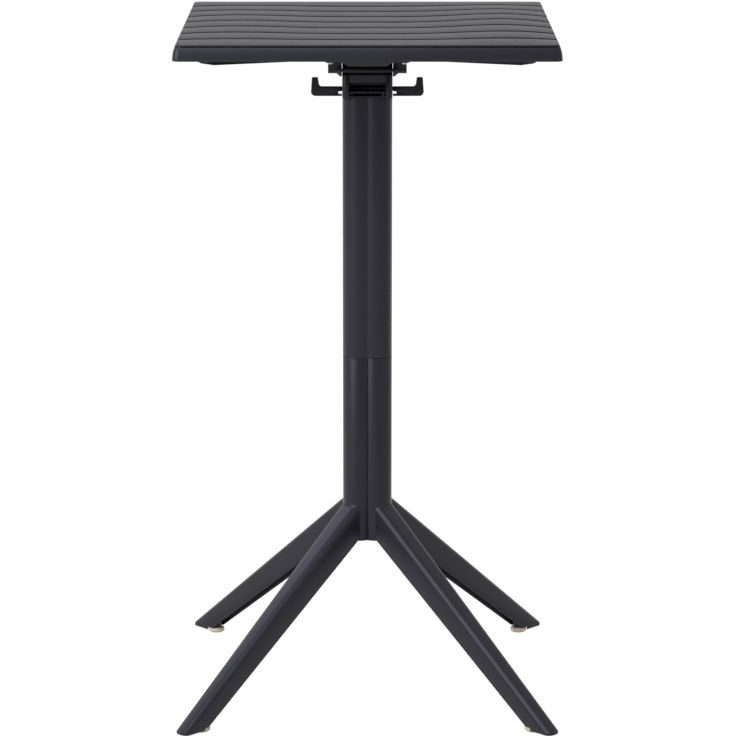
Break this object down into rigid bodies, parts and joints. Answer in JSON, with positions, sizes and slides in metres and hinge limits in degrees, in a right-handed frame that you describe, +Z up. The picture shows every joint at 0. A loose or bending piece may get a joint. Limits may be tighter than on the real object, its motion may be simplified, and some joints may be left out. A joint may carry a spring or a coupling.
{
  "type": "bar table",
  "caption": "Square slatted bar-height table: tip-up top hinged on a lobed column head, bag hooks that release it, splayed channel legs and screw-in levelling glides.",
  "frame": {"origin": "on the floor under the column's axis, midway between the four glides", "axes": "+Z up along the column, +X to the right across the release bar, +Y to the back"},
  "size_m": [0.5954, 0.5954, 1.0843],
  "materials": {
    "anthracite_resin": "satin, finely textured moulded resin",
    "black_nylon": "matt moulded nylon",
    "zinc_steel": "bright zinc plate",
    "black_steel": "black oxide",
    "brass": "turned",
    "ivory_plastic": "natural nylon, slightly translucent"
  },
  "bodies": {
    "base": {"column_head": "black_nylon", "head_screws": "black_steel", "hinge_pin": "zinc_steel", "pin_caps": "black_nylon", "upper_column": "anthracite_resin", "column_coupler": "black_nylon", "hub_plate": "zinc_steel", "hub_screws": "zinc_steel", "tie_rod": "zinc_steel", "tie_rod_washers": "zinc_steel", "tie_rod_nuts": "zinc_steel", "foot_inserts": "brass", "leg_front_right": "anthracite_resin", "leg_rear_right": "anthracite_resin", "leg_rear_left": "anthracite_resin", "leg_front_left": "anthracite_resin"},
    "top": {"table_top": "anthracite_resin", "hinge_bracket": "black_nylon", "bracket_screws": "zinc_steel", "catch_spring": "black_steel", "catch_rivets": "zinc_steel"},
    "release_bar": {"release_shaft": "black_steel", "release_cam": "black_nylon", "release_pins": "black_steel", "bag_hook_left": "black_nylon", "bag_hook_right": "black_nylon"},
    "foot_front_right": {"glide_front_right": "ivory_plastic", "glide_stem_front_right": "zinc_steel"},
    "foot_rear_right": {"glide_rear_right": "ivory_plastic", "glide_stem_rear_right": "zinc_steel"},
    "foot_rear_left": {"glide_rear_left": "ivory_plastic", "glide_stem_rear_left": "zinc_steel"},
    "foot_front_left": {"glide_front_left": "ivory_plastic", "glide_stem_front_left": "zinc_steel"}
  },
  "joints": [
    {"name": "top_tilt", "type": "hinge", "parent": "base", "child": "top", "pos_m": [0, -0.03, 1.008], "axis": [1, 0, 0], "range_deg": [0, 90], "deforming": ["catch_spring"]},
    {"name": "release_turn", "type": "hinge", "parent": "base", "child": "release_bar", "pos_m": [0, 0.004, 0.9745], "axis": [-1, 0, 0], "range_deg": [0, 20], "stiffness_Nm_per_rad": 0.5, "deforming": ["catch_spring"]},
    {"name": "glide_level_front_right", "type": "slide", "parent": "base", "child": "foot_front_right", "axis": [0, 0, 1], "range_m": [-0.008, 0]},
    {"name": "glide_level_rear_right", "type": "slide", "parent": "base", "child": "foot_rear_right", "axis": [0, 0, 1], "range_m": [-0.008, 0]},
    {"name": "glide_level_rear_left", "type": "slide", "parent": "base", "child": "foot_rear_left", "axis": [0, 0, 1], "range_m": [-0.008, 0]},
    {"name": "glide_level_front_left", "type": "slide", "parent": "base", "child": "foot_front_left", "axis": [0, 0, 1], "range_m": [-0.008, 0]}
  ]
}
